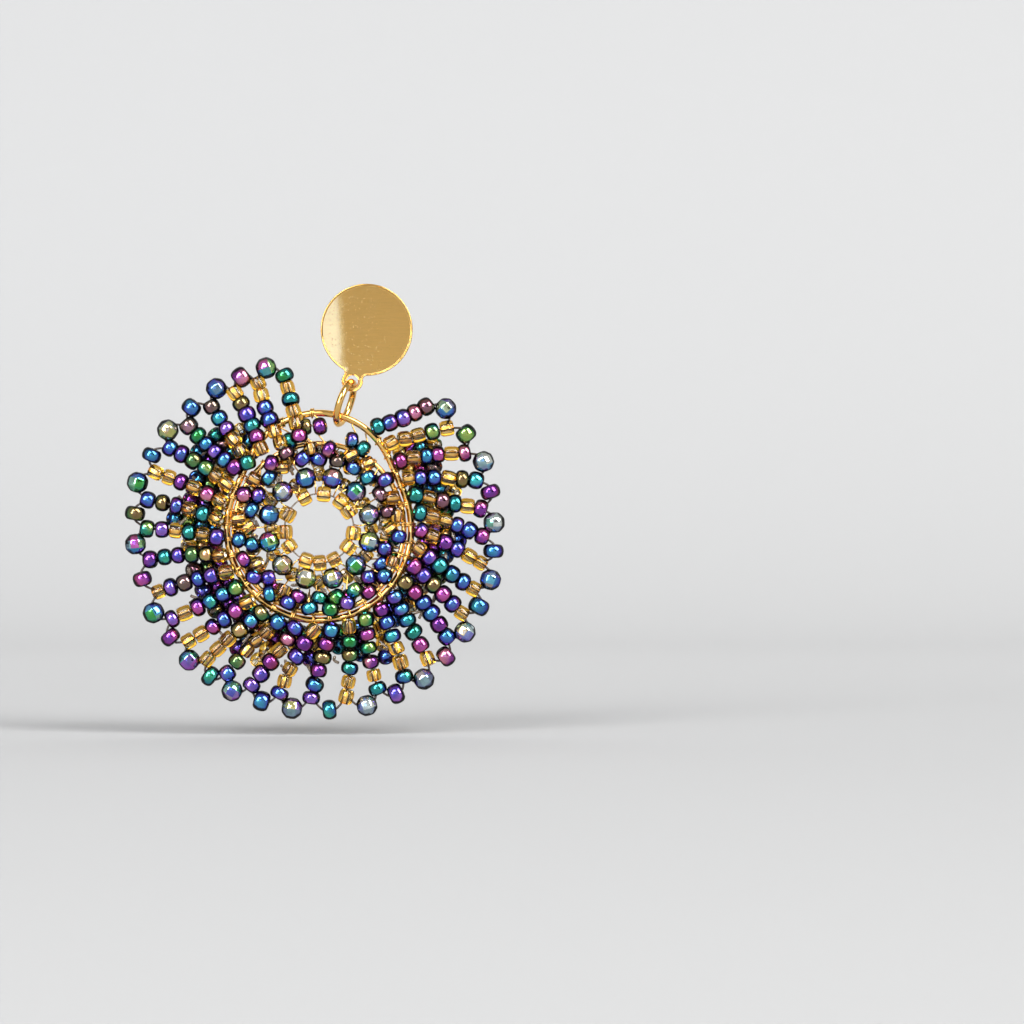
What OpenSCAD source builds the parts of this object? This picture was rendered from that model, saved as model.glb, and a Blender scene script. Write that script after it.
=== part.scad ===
// Beaded statement earring: a round stud, a jump ring and a ring-shaped beaded drop.
// Millimetres. The front faces -Y, +Z is up and the ear post runs along +Y.
// The origin is the centre of the stud's back face, where it sits on the ear.

/* [Stud] */
// Diameter of the flat disc
disc_d = 12; // [10:0.5:14]
// Thickness of the disc and its lug
disc_t = 0.9; // [0.8:0.05:1.1]
// Radius of the rounded rim
rim_round = 0.25; // [0.1:0.05:0.35]
// Distance from the disc's centre to the lug's hole
lug_reach = 6.95; // [6.9:0.05:7.1]
// Turn of the lug from straight down, towards the left
lug_turn = 15.6; // [10:0.2:20]
// Outer diameter of the lug
lug_d = 2.8; // [2.6:0.1:3]
// Diameter of the lug's hole
lug_hole_d = 1.5; // [1.4:0.05:1.6]
// Diameter of the ear post
post_d = 0.8; // [0.7:0.05:0.9]
// Length of the ear post behind the disc
post_len = 10; // [9:0.5:12]

/* [Jump ring] */
// Wire diameter of the jump ring
ring_wire_d = 0.9; // [0.8:0.05:0.95]
// Diameter of the jump ring along the middle of its wire
ring_d = 5.7; // [5.5:0.1:6]
// Lean of the jump ring from straight down, towards the left
ring_lean = 18.6; // [14:0.2:22]
// Turn of the jump ring about its own length
ring_yaw = 12; // [0:1:12]

/* [Hoops] */
// Wire diameter of the arched outer hoop
arch_wire_d = 0.9; // [0.8:0.05:0.9]
// Radius of the outer hoop's round lower part
arch_r = 12; // [11.8:0.1:12.4]
// Radius of the outer hoop's arched top
arch_top_r = 9.9; // [9.6:0.1:10.1]
// Height of the top arc's centre above the drop's centre
arch_rise = 5.12; // [4.8:0.02:5.3]
// Where the jump ring sits, to the right of the top of the arch
hang_turn = 16.4; // [10:0.2:20]
// Wire diameter of the round inner hoop
round_wire_d = 0.7; // [0.6:0.05:0.8]

/* [Beads] */
// Diameter of a faceted bead
facet_d = 2.8; // [2.6:0.05:2.85]
// Diameter of the hole through a faceted bead
facet_hole_d = 0.8; // [0.7:0.05:0.9]
// Number of facets round a faceted bead, in each of its three rows
facet_sides = 8; // [8:1:10]
// Width of a string of seed beads
seed_d = 2.0; // [1.8:0.05:2.1]
// Diameter of the stringing thread
thread_d = 0.36; // [0.3:0.02:0.4]

/* [Beadwork] */
// Radius of the string of gold beads round the eye
eye_r = 4.5; // [4.4:0.05:4.6]
// Diameter of the string of gold beads round the eye
eye_string_d = 1.4; // [1.3:0.05:1.4]
// Radius of the circle of faceted beads inside the hoops
inner_r = 6.75; // [6.7:0.05:6.8]
// Number of faceted beads inside the hoops
inner_count = 12; // [10:1:12]
// Number of short strings between the faceted beads and the round hoop
web_count = 24; // [16:2:26]
// Depth of the beadwork inside the hoops
web_depth = 2.2; // [1.8:0.1:2.6]
// Depth of the dense beadwork just outside the hoops
band_depth = 3.2; // [2.4:0.1:3.6]
// Width of the dense beadwork just outside the hoops
band_width = 2.9; // [2.4:0.1:3.2]
// Distance from the ends of the fringe strings out to the tip beads
tip_rise = 1.75; // [1.7:0.05:1.9]
// Where the fringe starts, to the left of the top
fringe_from = 13.2; // [12:0.2:15]
// Where the fringe ends, counted on round the bottom
fringe_to = 330; // [326:1:332]

/* [Hidden] */
// Faceted tip beads, anticlockwise from the top of the drop: [angle, radius]
TIP_ANGLE = 0;
TIP_R = 1;
FACET_TIPS = [
    [18.3, 22.0], [36.3, 22.6], [57.0, 23.5], [75.8, 24.4], [94.9, 24.0], [117.0, 24.2],
    [135.4, 24.1], [151.8, 24.0], [171.4, 23.7], [195.1, 23.9], [214.8, 23.9], [234.6, 23.3],
    [253.3, 23.3], [271.9, 22.8], [292.1, 23.1], [313.4, 22.7]
];

function numbered(name, i) = str(name, i < 9 ? "0" : "", i + 1);
$fn = 96;

gold = "#D9A441";
iris = "#3B3A8C";
gold_glass = "#D99A2B";
facet_glass = "#5C7F9E";
nylon = "#C9C7BD";

// Small gaps between pieces that touch on the real earring
seat_gap = 0.12;
bead_gap = 0.15;
// Strings of beads stand a little apart, so they are slimmer than a bead
fringe_string_d = seed_d - 0.2;
web_string_d = seed_d - 0.3;
string_sides = 8;
// Taper of the post's end and rounding of the lug's edge
post_taper = 0.3;
lug_round = 0.2;
lug_fillet = 0.5;

// Rows of corners on a faceted bead, as shares of its width: [along the hole, out from it]
ROW_ALONG = 0;
ROW_OUT = 1;
FACET_ROWS = [[-0.47, 0.25], [-0.21, 0.52], [0.21, 0.52], [0.47, 0.25]];

// Everything that hangs lies in the middle plane of the disc
plane_y = -disc_t / 2;

// Points in the XZ plane, worked out from the lug down to the drop
function down_left(turn) = [-sin(turn), -cos(turn)];
lug_at = lug_reach * down_left(lug_turn);
hang_way = down_left(ring_lean);
ring_top = lug_at + seat_gap * hang_way;
ring_middle = ring_top + ring_d / 2 * hang_way;
ring_bottom = ring_top + ring_d * hang_way;
hoop_hang = ring_bottom - ((ring_wire_d + arch_wire_d) / 2 + seat_gap) * hang_way;
drop_at = hoop_hang - [arch_top_r * sin(hang_turn), arch_rise + arch_top_r * cos(hang_turn)];

// Both hoops: the straight stretches touch the two arcs at this angle from the top
tangent_turn = acos((arch_r - arch_top_r) / arch_rise);
round_r = arch_r - (arch_wire_d + round_wire_d) / 2 - bead_gap;

// A point of the drop, at an angle anticlockwise from its top
function at(r, a) = [-r * sin(a), r * cos(a)];

// Reach of the arched hoop's middle line from the drop's centre
top_tangent = [arch_top_r * sin(tangent_turn), arch_rise + arch_top_r * cos(tangent_turn)];
arc_end = atan2(top_tangent[0], top_tangent[1]);
function from_top(a) = abs(a > 180 ? a - 360 : a);
function top_reach(a) = arch_rise * cos(a) + sqrt(pow(arch_top_r, 2) - pow(arch_rise * sin(a), 2));
function side_reach(a) = arch_r / cos(tangent_turn - a);
function hoop_reach(a) =
    from_top(a) > tangent_turn ? arch_r :
    from_top(a) > arc_end ? side_reach(from_top(a)) : top_reach(from_top(a));

// Tips of the fringe: a faceted bead and a seed bead by turns
tip_count = 2 * len(FACET_TIPS) - 1;
seed_tip_drop = 0.15;
function is_facet(k) = k % 2 == 0;
function tip_angle(k) = is_facet(k) ? FACET_TIPS[k / 2][TIP_ANGLE]
    : (FACET_TIPS[(k - 1) / 2][TIP_ANGLE] + FACET_TIPS[(k + 1) / 2][TIP_ANGLE]) / 2;
function tip_r(k) = is_facet(k) ? FACET_TIPS[k / 2][TIP_R]
    : (FACET_TIPS[(k - 1) / 2][TIP_R] + FACET_TIPS[(k + 1) / 2][TIP_R]) / 2 - seed_tip_drop;

// Ends of the fringe strings: half way between their two tips, and lower than they are
end_side = 5.2;
last_side = 7.5;
function end_angle(i) = i == 0 ? tip_angle(0) - end_side
    : i == tip_count ? tip_angle(tip_count - 1) + last_side
    : (tip_angle(i - 1) + tip_angle(i)) / 2;
function end_r(i) = i == 0 ? tip_r(0) - tip_rise
    : i == tip_count ? tip_r(tip_count - 1) - tip_rise
    : (tip_r(i - 1) + tip_r(i)) / 2 - tip_rise;
function base_angle(i) = fringe_from + i * (fringe_to - fringe_from) / tip_count;

// Turns and moves a piece built round +Z to run from one point of the drop to another
module strung(from, to) {
    way = to - from;
    translate([from[0], 0, from[1]])
        rotate([0, atan2(way[0], way[1]), 0])
            children();
}

module on_drop() {
    translate([drop_at[0], plane_y, drop_at[1]])
        children();
}

// Half section of a round plate with both rims rounded in two steps
module plate_profile(r, t, e) {
    steps = [for (a = [0, 45, 90]) [r - e + e * sin(a), e - e * cos(a)]];
    back_steps = [for (i = [2:-1:0]) [steps[i][0], t - steps[i][1]]];
    polygon(concat([[0, 0]], steps, back_steps, [[0, t]]));
}

module lug_fillets() {
    reach = disc_d / 2 + lug_fillet;
    side = lug_d / 2 + lug_fillet;
    turn = acos((pow(lug_reach, 2) + pow(reach, 2) - pow(side, 2)) / (2 * lug_reach * reach));
    for (s = [-1, 1])
        difference() {
            polygon([[0, 0], reach * down_left(lug_turn + s * turn), lug_at]);
            translate(reach * down_left(lug_turn + s * turn))
                circle(lug_fillet);
        }
}

// Disc, lug and ear post, soldered into one
module stud() {
    color(gold) {
        difference() {
            union() {
                rotate([90, 0, 0])
                    rotate_extrude()
                        plate_profile(disc_d / 2, disc_t, rim_round);
                translate([lug_at[0], 0, lug_at[1]])
                    rotate([90, 0, 0])
                        rotate_extrude()
                            plate_profile(lug_d / 2, disc_t, lug_round);
                rotate([90, 0, 0])
                    translate([0, 0, lug_round])
                        linear_extrude(disc_t - 2 * lug_round)
                            lug_fillets();
            }
            translate([lug_at[0], disc_t, lug_at[1]])
                rotate([90, 0, 0])
                    cylinder(h = 3 * disc_t, d = lug_hole_d);
        }
        translate([0, -disc_t / 2, 0])
            rotate([-90, 0, 0])
                cylinder(h = post_len + disc_t / 2 - post_taper, d = post_d);
        translate([0, post_len - post_taper, 0])
            rotate([-90, 0, 0])
                cylinder(h = post_taper, d1 = post_d, d2 = post_d - post_taper);
    }
}

module jump_ring() {
    color(gold)
        translate([ring_middle[0], plane_y, ring_middle[1]])
            rotate([0, ring_lean, 0])
                rotate([0, 0, -ring_yaw])
                    rotate([0, 90, 0])
                        rotate_extrude()
                            translate([ring_d / 2, 0])
                                circle(d = ring_wire_d, $fn = 48);
}

// An arc of wire about +Y, from one angle to another anticlockwise from the top
module wire_arc(r, wire_d, from, to) {
    rotate([90, 0, 0])
        rotate([0, 0, 90 + from])
            rotate_extrude(angle = to - from)
                translate([r, 0])
                    circle(d = wire_d, $fn = 48);
}

// The outer hoop: round below, arched to a tighter curve at the top. Its straight sides are a
// hair slimmer than the arcs and let into them
module arch_hoop() {
    let_in = 0.4;
    slim = 0.04;
    color(gold)
        on_drop() {
            wire_arc(arch_r, arch_wire_d, tangent_turn, 360 - tangent_turn);
            translate([0, 0, arch_rise])
                wire_arc(arch_top_r, arch_wire_d, -tangent_turn, tangent_turn);
            for (s = [-1, 1]) {
                low = at(arch_r, s * tangent_turn);
                high = at(arch_top_r, s * tangent_turn) + [0, arch_rise];
                way = (high - low) / norm(high - low);
                strung(low - let_in * way, high + let_in * way)
                    cylinder(h = norm(high - low) + 2 * let_in, d = arch_wire_d - slim, $fn = 48);
            }
        }
}

module round_hoop() {
    color(gold)
        on_drop()
            rotate([90, 0, 0])
                rotate_extrude()
                    translate([round_r, 0])
                        circle(d = round_wire_d, $fn = 48);
}

// Flat outline of the arched hoop's middle line, moved out by some distance
module arch_outline(out) {
    circle(arch_r + out);
    translate([0, arch_rise])
        circle(arch_top_r + out);
    polygon([
        at(arch_r + out, tangent_turn), at(arch_r + out, -tangent_turn),
        at(arch_top_r + out, -tangent_turn) + [0, arch_rise],
        at(arch_top_r + out, tangent_turn) + [0, arch_rise]
    ]);
}

// A string of seed beads, as a tube with flat sides
module bead_string(from, to, d) {
    strung(from, to)
        rotate([0, 0, 180 / string_sides])
            cylinder(h = norm(to - from), d = d, $fn = string_sides);
}

module thread_run(from, to) {
    strung(from, to)
        cylinder(h = norm(to - from), d = thread_d, $fn = 6);
}

// Dense beadwork that follows the arched hoop and stays open at its top
module fringe_band() {
    inner = arch_wire_d / 2 + bead_gap;
    far = 3 * arch_r;
    side = 5;
    rotate([90, 0, 0])
        translate([0, 0, -band_depth / 2])
            linear_extrude(band_depth)
                difference() {
                    arch_outline(inner + band_width);
                    arch_outline(inner);
                    polygon([[0, 0], at(far, fringe_from - side), at(far, fringe_to - 360 + side)]);
                }
}

// The thread over one tip: out of one string, straight through the tip bead, into the next
module tip_loop(k) {
    reach = facet_d / 2 + thread_d;
    turn = atan(reach / tip_r(k));
    left = at(norm([reach, tip_r(k)]), tip_angle(k) + turn);
    right = at(norm([reach, tip_r(k)]), tip_angle(k) - turn);
    thread_run(at(end_r(k), end_angle(k)), right);
    thread_run(right, left);
    thread_run(left, at(end_r(k + 1), end_angle(k + 1)));
}

module seed_tip(k) {
    half = 0.75;
    turn = atan(half / tip_r(k));
    reach = norm([half, tip_r(k)]);
    bead_string(at(reach, tip_angle(k) - turn), at(reach, tip_angle(k) + turn), seed_d);
}

// The fringe: a dense band, radial strings of beads, and a looped edge with seed beads on it
module fringe() {
    root = 1.6;
    lip = 0.4;
    color(iris)
        on_drop() {
            fringe_band();
            for (i = [0:tip_count])
                bead_string(
                    at(hoop_reach(base_angle(i)) + root, base_angle(i)),
                    at(end_r(i) + lip, end_angle(i)), fringe_string_d);
            for (k = [0:tip_count - 1])
                tip_loop(k);
            for (k = [1:2:tip_count - 2])
                seed_tip(k);
        }
}

// Short strings between the faceted beads and the round hoop, joined by their inner row
module inner_web() {
    inner = inner_r + facet_d / 2 + bead_gap;
    outer = round_r - round_wire_d / 2 - bead_gap;
    row = 0.9;
    color(iris)
        on_drop() {
            rotate([90, 0, 0])
                translate([0, 0, -web_depth / 2])
                    linear_extrude(web_depth)
                        difference() {
                            circle(inner + row);
                            circle(inner);
                        }
            for (i = [0:web_count - 1])
                bead_string(
                    at(inner + row / 2, i * 360 / web_count),
                    at(outer, i * 360 / web_count), web_string_d);
        }
}

module eye_string() {
    color(gold_glass)
        on_drop()
            rotate([90, 0, 0])
                rotate_extrude()
                    translate([eye_r, 0])
                        circle(d = eye_string_d, $fn = 32);
}

// The thread that carries the faceted beads inside the hoops
module ring_thread() {
    color(nylon)
        on_drop()
            rotate([90, 0, 0])
                rotate_extrude()
                    translate([inner_r, 0])
                        circle(d = thread_d, $fn = 16);
}

// A cut bead along +Z: three rows of facets round it and a flat table round each end of its hole
module faceted_bead() {
    rows = len(FACET_ROWS);
    n = facet_sides;
    points = [
        for (r = [0:rows - 1], j = [0:n - 1])
            let (a = j * 360 / n, out = FACET_ROWS[r][ROW_OUT] * facet_d)
                [out * cos(a), out * sin(a), FACET_ROWS[r][ROW_ALONG] * facet_d]
    ];
    bottom = [for (j = [0:n - 1]) j];
    top = [for (j = [n - 1:-1:0]) (rows - 1) * n + j];
    sides = [
        for (r = [0:rows - 2], j = [0:n - 1])
            [r * n + j, (r + 1) * n + j, (r + 1) * n + (j + 1) % n, r * n + (j + 1) % n]
    ];
    difference() {
        polyhedron(points, concat([bottom, top], sides));
        translate([0, 0, -facet_d])
            cylinder(h = 2 * facet_d, d = facet_hole_d, $fn = 24);
    }
}

// A cut bead strung along the edge of a circle about the drop's centre
module ring_bead(r, a, spin) {
    color(facet_glass)
        on_drop()
            rotate([0, -a, 0])
                translate([0, 0, r])
                    rotate([0, 90, 0])
                        rotate([0, 0, spin])
                            faceted_bead();
}

spin_step = 17;
module inner_bead(i) {
    ring_bead(inner_r, (i + 0.5) * 360 / inner_count, i * spin_step);
}

module rim_bead(i) {
    ring_bead(FACET_TIPS[i][TIP_R], FACET_TIPS[i][TIP_ANGLE], i * spin_step);
}

stud();
jump_ring();
arch_hoop();
round_hoop();
fringe();
inner_web();
eye_string();
ring_thread();
for (i = [0:inner_count - 1])
    inner_bead(i);
for (i = [0:len(FACET_TIPS) - 1])
    rim_bead(i);
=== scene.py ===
"""Beaded statement earring: wire, glass and polish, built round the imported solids."""

import math
import random
from collections import namedtuple

import bmesh
import bpy
import numpy as np
from bpy.props import FloatProperty, FloatVectorProperty, IntProperty, PointerProperty
from mathutils import Matrix, Quaternion, Vector


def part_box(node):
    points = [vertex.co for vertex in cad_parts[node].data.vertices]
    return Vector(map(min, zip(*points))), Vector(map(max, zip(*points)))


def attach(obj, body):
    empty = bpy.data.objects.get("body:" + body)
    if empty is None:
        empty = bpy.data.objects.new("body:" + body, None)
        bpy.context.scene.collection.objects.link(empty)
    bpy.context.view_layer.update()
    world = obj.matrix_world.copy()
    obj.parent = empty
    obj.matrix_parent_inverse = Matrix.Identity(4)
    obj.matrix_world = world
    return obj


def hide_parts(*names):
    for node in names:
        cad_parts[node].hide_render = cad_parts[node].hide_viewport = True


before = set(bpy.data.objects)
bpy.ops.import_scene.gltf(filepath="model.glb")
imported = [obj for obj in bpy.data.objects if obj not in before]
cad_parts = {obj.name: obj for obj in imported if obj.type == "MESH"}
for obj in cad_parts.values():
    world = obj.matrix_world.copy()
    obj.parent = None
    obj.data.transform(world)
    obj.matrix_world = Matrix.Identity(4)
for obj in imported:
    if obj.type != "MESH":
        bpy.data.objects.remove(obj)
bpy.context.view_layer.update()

bl_info = {
    "name": "Beaded Statement Earring",
    "version": (1, 0, 0),
    "blender": (4, 5, 0),
    "location": "3D View > Sidebar > Earring",
    "description": "Dresses a round stud, a jump ring and a ring-shaped beaded drop",
    "category": "Object",
}

MM = 0.001


# Places, read from the frame

def middle_of(node):
    low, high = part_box(node)
    return (low + high) / 2


def span_of(node):
    low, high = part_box(node)
    return high - low


DROP_AT = middle_of("round_hoop")
ARCH_WIRE = span_of("arch_hoop").y
ROUND_WIRE = span_of("round_hoop").y
ARCH_R = (span_of("arch_hoop").x - ARCH_WIRE) / 2
ROUND_R = (span_of("round_hoop").x - ROUND_WIRE) / 2
EYE_R = (span_of("eye_string").x - span_of("eye_string").y) / 2
# The arch is an arc of this radius; its centre stands above the drop's centre
ARCH_TOP_R = 9.9 * MM
ARCH_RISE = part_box("arch_hoop")[1].z - ARCH_WIRE / 2 - ARCH_TOP_R - DROP_AT.z
# The hoop's straight stretches touch both arcs at this angle from the top
TANGENT = math.acos((ARCH_R - ARCH_TOP_R) / ARCH_RISE)


def on_drop(r, turn, y=0.0):
    """A point r from the drop's centre, turn degrees anticlockwise from its top, y behind it."""
    a = math.radians(turn)
    return DROP_AT + Vector((-r * math.sin(a), y, r * math.cos(a)))


def along_edge(turn):
    """The direction in which a circle round the drop's centre runs at that turn."""
    a = math.radians(turn)
    return Vector((-math.cos(a), 0, -math.sin(a)))


def outward(turn):
    a = math.radians(turn)
    return Vector((-math.sin(a), 0, math.cos(a)))


def polar(point):
    """Radius and turn of a point, seen from the drop's centre."""
    away = point - DROP_AT
    return math.hypot(away.x, away.z), math.degrees(math.atan2(-away.x, away.z)) % 360


def arch_reach(turn):
    """Distance from the drop's centre to the arched hoop's middle line."""
    a = abs(math.radians((turn + 180) % 360 - 180))
    if a > TANGENT:
        return ARCH_R
    arc_end = math.atan2(ARCH_TOP_R * math.sin(TANGENT), ARCH_RISE + ARCH_TOP_R * math.cos(TANGENT))
    if a > arc_end:
        return ARCH_R / math.cos(TANGENT - a)
    return ARCH_RISE * math.cos(a) + math.sqrt(ARCH_TOP_R ** 2 - (ARCH_RISE * math.sin(a)) ** 2)


INNER_NODES = sorted(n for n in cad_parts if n.startswith("inner_bead_"))
RIM_NODES = sorted(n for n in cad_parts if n.startswith("rim_bead_"))
RIM = [polar(middle_of(n)) for n in RIM_NODES]
# How much nearer the middle a seed bead on the edge sits than the cut beads beside it
SEED_TIP_SINK = 0.15 * MM


def tips():
    """Radius and turn of every bead on the edge: cut beads, a seed bead between each two."""
    made = []
    for (r, turn), (next_r, next_turn) in zip(RIM, RIM[1:]):
        made += [(r, turn), ((r + next_r) / 2 - SEED_TIP_SINK, (turn + next_turn) / 2)]
    return made + [RIM[-1]]


TIPS = tips()


# Sizes and colours

def length(name, description, default, low, high):
    return FloatProperty(
        name=name, description=description, default=default * MM, min=low * MM, max=high * MM,
        precision=5, subtype="DISTANCE", unit="LENGTH")


def to_linear(code):
    """Linear RGB of an sRGB hex colour."""
    channels = [int(code[i:i + 2], 16) / 255 for i in (1, 3, 5)]
    return [c / 12.92 if c <= 0.04045 else ((c + 0.055) / 1.055) ** 2.4 for c in channels]


def colour(name, description, code):
    return FloatVectorProperty(
        name=name, description=description, default=to_linear(code), min=0, max=1,
        size=3, subtype="COLOR")


class EARRING_PG_sizes(bpy.types.PropertyGroup):
    disc_width: length("Disc width", "Width of the stud's disc", 12, 11.8, 12)
    lug_width: length("Lug width", "Width of the stud's lug", 2.8, 2.6, 2.8)
    lug_hole: length("Lug hole", "Width of the lug's hole", 1.5, 1.4, 1.6)
    post_width: length("Post width", "Thickness of the ear post", 0.8, 0.7, 0.8)
    post_long: length("Post length", "Length of the ear post behind the disc", 10, 9, 10)
    ring_wire: length("Ring wire", "Thickness of the jump ring's wire", 0.9, 0.8, 0.9)
    ring_across: length("Ring size", "Jump ring, across the middle of its wire", 5.69, 5.5, 5.7)
    seed_width: length("Seed bead width", "Seed bead across its hole", 2.4, 2.0, 2.6)
    seed_long: length("Seed bead length", "Seed bead along its hole", 1.72, 1.4, 1.9)
    seed_hole: length("Seed bead hole", "Width of a seed bead's hole", 0.75, 0.6, 1.0)
    gold_width: length("Gold bead width", "Gold-lined bead across its hole", 2.02, 1.7, 2.2)
    gold_long: length("Gold bead length", "Gold-lined bead along its hole", 1.7, 1.5, 1.9)
    gold_hole: length("Gold bead hole", "Width of a gold-lined bead's hole", 0.76, 0.6, 0.9)
    cut_width: length("Cut bead width", "Cut bead across its hole", 2.8, 2.6, 2.85)
    cut_soft: length("Cut bead softness", "Melted edge between two facets", 0.26, 0.05, 0.4)
    binding_wire: length("Binding wire", "Wire wound round the hoops", 0.26, 0.2, 0.35)
    fine_wire: length("Fine wire", "Wire that carries the beads", 0.2, 0.15, 0.3)
    nylon: length("Thread", "Thickness of the clear nylon thread", 0.22, 0.15, 0.36)
    thread: length("Beading thread", "Thread that joins the fringe's ends", 0.3, 0.2, 0.36)
    nylon_knot: length("Knotted thread", "Thread where it is knotted", 0.4, 0.3, 0.5)
    seed: IntProperty(
        name="Random seed", description="Seed of every random choice", default=7, min=0)


class EARRING_PG_colours(bpy.types.PropertyGroup):
    gold: colour("Gold", "Polished gold plate", "#EBBA64")
    gold_edge: colour("Gold edge", "Gold plate seen at a slant", "#F6DCA4")
    # Painted shade: the near black that iris beads turn to where they curve away from view
    bead_edge: colour("Bead edge", "Iris bead where it curves away", "#0E0706")
    bead_gleam: colour("Bead gleam", "What an iris bead's edge mirrors", "#1C1210")
    amber: colour("Amber", "Gold-lined bead's glass where it is thin", "#FFF2C4")
    amber_side: colour("Amber side", "Gold-lined bead's glass at its sides", "#F0B026")
    liner: colour("Liner", "Metal lining in a gold-lined bead's hole", "#FFFAE8")
    # Painted shade along the lining's corners, which is also the colour of its flaw spots
    liner_shade_and_flaws: colour("Liner edge", "The lining's worn corners", "#4E340C")
    nylon: colour("Nylon", "Clear thread", "#A89684")
    thread: colour("Beading thread", "Dark thread that joins the fringe's ends", "#40342C")
    paper: colour("Paper", "Backdrop", "#A4A4A4")
    card: colour("Card", "Card that the stud mirrors", "#F6F6F6")


def chosen(context):
    """The sizes and colours that are set in the sidebar."""
    return context.scene.earring_sizes, context.scene.earring_colours


# Mesh helpers

Place = namedtuple("Place", "at along spin size tones")


def link(name, data):
    obj = bpy.data.objects.new(name, data)
    bpy.context.scene.collection.objects.link(obj)
    return obj


def dress(name, data, material, colours, body, slot, *replaced):
    """Makes a piece, with its material, its body and the nodes that it replaces. Its slot is not
    used.
    """
    obj = link(name, data)
    obj.data.materials.append(finish_named(material, colours))
    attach(obj, body)
    if replaced:
        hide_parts(*replaced)


def mesh_of(name, points, faces):
    mesh = bpy.data.meshes.new(name)
    mesh.from_pydata(points, [], faces)
    mesh.shade_smooth()
    return mesh


def mesh_from(form, name):
    """A smooth mesh from a bmesh, which is used up."""
    mesh = bpy.data.meshes.new(name)
    form.to_mesh(mesh)
    form.free()
    mesh.shade_smooth()
    return mesh


def skin(form, loops):
    """Four-sided faces between closed loops of as many points each, in a bmesh."""
    for one, two in zip(loops, loops[1:]):
        for a, b, c, d in zip(one, one[1:] + one[:1], two[1:] + two[:1], two):
            form.faces.new((a, b, c, d))


def unit(a):
    return Vector((math.cos(a), math.sin(a)))


def circle(count):
    """Evenly spaced points on a circle of radius 1."""
    return [(math.cos(math.tau * k / count), math.sin(math.tau * k / count)) for k in range(count)]


def closed_faces(rows, sides):
    """Four-sided faces of a grid of points that closes on itself both ways."""
    return np.array([
        (i * sides + j, i * sides + (j + 1) % sides,
         (i + 1) % rows * sides + (j + 1) % sides, (i + 1) % rows * sides + j)
        for i in range(rows) for j in range(sides)])


def turned(profile, sides):
    """A closed outline of (radius, height) pairs, turned round +Z: its points and its faces."""
    angles = np.arange(sides) * 2 * math.pi / sides
    radii, heights = np.array(profile).T
    points = np.stack([
        np.outer(radii, np.cos(angles)), np.outer(radii, np.sin(angles)),
        np.repeat(heights[:, None], sides, 1)], -1).reshape(-1, 3)
    return points, closed_faces(len(profile), sides)


BEAD_SIDES = 18
# How flat the outside of a seed bead is along its hole: 2 is round, more is squarer
IRIS_SQUARE = 2.15
GOLD_SQUARE = 3.0
# How far the worn edge of a seed bead's hole reaches
BEAD_LIP = 0.08 * MM


def bead_outline(width, long, hole, square):
    """Half section of a seed bead: a rounded outside and a straight hole."""
    outer, half, inner = width / 2, long / 2, hole / 2
    shoulder = inner + (outer - inner) * 0.3
    outside = []
    for i in range(11):
        a = math.radians(-90 + 18 * i)
        reach = abs(math.cos(a)) ** (2 / square)
        rise = math.copysign(abs(math.sin(a)) ** (2 / square), math.sin(a))
        outside.append((shoulder + (outer - shoulder) * reach, half * rise))
    return outside + [
        (inner + BEAD_LIP, half - BEAD_LIP / 3), (inner, half - BEAD_LIP * 1.5),
        (inner, -half + BEAD_LIP * 1.5), (inner + BEAD_LIP, -half + BEAD_LIP / 3)]


# Section of a square lining: its points' degrees from each corner, and how far from the middle
# its flat sides lie and its worn corners reach, as shares of half its width
CORNER_TURNS = (-30, -17, -9, 9, 17, 30)
SIDE_REACH = 0.86
CORNER_REACH = 1.17


def square_tube(half_width, half_long):
    """A tube with a square section and worn corners: its points and its faces."""
    corners = []
    for k in range(4):
        for side in CORNER_TURNS:
            a = math.radians(45 + 90 * k + side)
            reach = min(SIDE_REACH / math.cos(math.radians(45 - abs(side))), CORNER_REACH)
            corners.append((half_width * reach * math.cos(a), half_width * reach * math.sin(a)))
    rows = [(1.0, -half_long), (1.0, half_long), (0.85, half_long), (0.85, -half_long)]
    points = np.array([(x * share, y * share, z) for share, z in rows for x, y in corners])
    return points, closed_faces(len(rows), len(corners))


def turn_to(along, spin):
    """Rotation that lays +Z along a direction, after a spin about +Z."""
    return along.to_track_quat("Z", "Y").to_matrix() @ Matrix.Rotation(spin, 3, "Z")


def smooth_step(low, high, x):
    t = np.clip((x - low) / (high - low), 0, 1)
    return t * t * (3 - 2 * t)


def flowing_tones(points, tones, rng):
    """Colours of one bead: a main tone that flows into a second and a third round its hole."""
    around = np.arctan2(points[:, 1], points[:, 0])
    lean = points[:, 2] / np.abs(points[:, 2]).max()
    second = smooth_step(-0.1, 0.7, np.cos(around - rng.uniform(0, math.tau)) + 0.3 * lean)
    third = smooth_step(0.45, 0.95, np.cos(around - rng.uniform(0, math.tau)) - 0.3 * lean)
    main, side, accent = (np.array(t) for t in tones)
    mixed = main + (side - main) * second[:, None]
    return mixed + (accent - mixed) * third[:, None]


def corner_tones(points, tones, rng):
    """Colours of a square lining: bright on its flat sides, with painted shade in dark lines at its
    corners.
    """
    bright, dark = (np.array(t) for t in tones)
    corner = np.abs(np.sin(2 * np.arctan2(points[:, 1], points[:, 0]))) > 0.9
    return np.where(corner[:, None], dark, bright)


def bead_mesh(name, shape, places, rng, tint_of=flowing_tones, tones=None):
    """Many beads of one shape as one joined mesh, each with its own colours."""
    base, faces = shape
    points, tints = [], []
    for place in places:
        turn = np.array(turn_to(place.along, place.spin))
        points.append((base * place.size) @ turn.T + np.array(place.at))
        tints.append(tint_of(base, tones or place.tones, rng))
    offsets = np.repeat(np.arange(len(places)) * len(base), len(faces))[:, None]
    every_face = np.tile(faces, (len(places), 1)) + offsets
    mesh = mesh_of(name, np.concatenate(points), every_face.tolist())
    colours = np.insert(np.concatenate(tints), 3, 1, axis=1)
    tint = mesh.attributes.new("tint", "FLOAT_COLOR", "POINT")
    tint.data.foreach_set("color", colours.astype(np.float32).ravel())
    return mesh


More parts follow.
